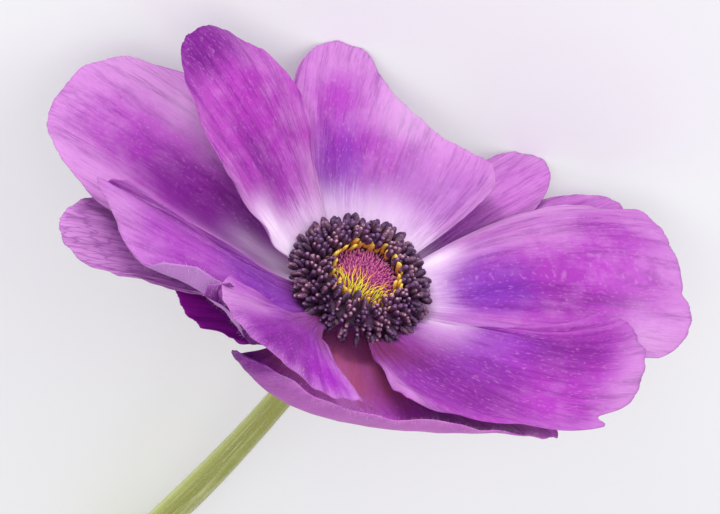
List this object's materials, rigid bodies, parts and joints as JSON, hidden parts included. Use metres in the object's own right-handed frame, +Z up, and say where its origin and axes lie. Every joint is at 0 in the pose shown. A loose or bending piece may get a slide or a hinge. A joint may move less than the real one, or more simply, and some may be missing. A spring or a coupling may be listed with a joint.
{
  "type": "anemone flower",
  "caption": "Cut anemone blossom with layered petals, a ring of dark stamens round a pistil dome and a bare curved stem, laid down to rest on its lowest petals and cut end.",
  "frame": {"origin": "on the table, under the middle of the laid-down flower's box", "axes": "+X from the stem's cut end towards the bloom, which faces +X; +Z up from the table"},
  "size_m": [0.1256, 0.1012, 0.0638],
  "materials": {
    "petal": "soft matte magenta-violet with pale lilac margins and a white base zone",
    "stem": "matte, finely hairy olive green",
    "pistil": "matte magenta-purple spikes",
    "pollen_yellow": "powdery orange-yellow",
    "anther_dark": "velvety purple-black with lilac edges"
  },
  "bodies": {
    "root": {"petal_01": "petal", "petal_02": "petal", "petal_03": "petal", "petal_04": "petal", "petal_05": "petal", "petal_06": "petal", "petal_07": "petal", "petal_08": "petal", "petal_09": "petal", "petal_10": "petal", "petal_11": "petal", "petal_12": "petal", "stem": "stem", "pistil_dome": "pistil", "yellow_stamens": "pollen_yellow", "dark_stamens": "anther_dark"}
  },
  "joints": []
}
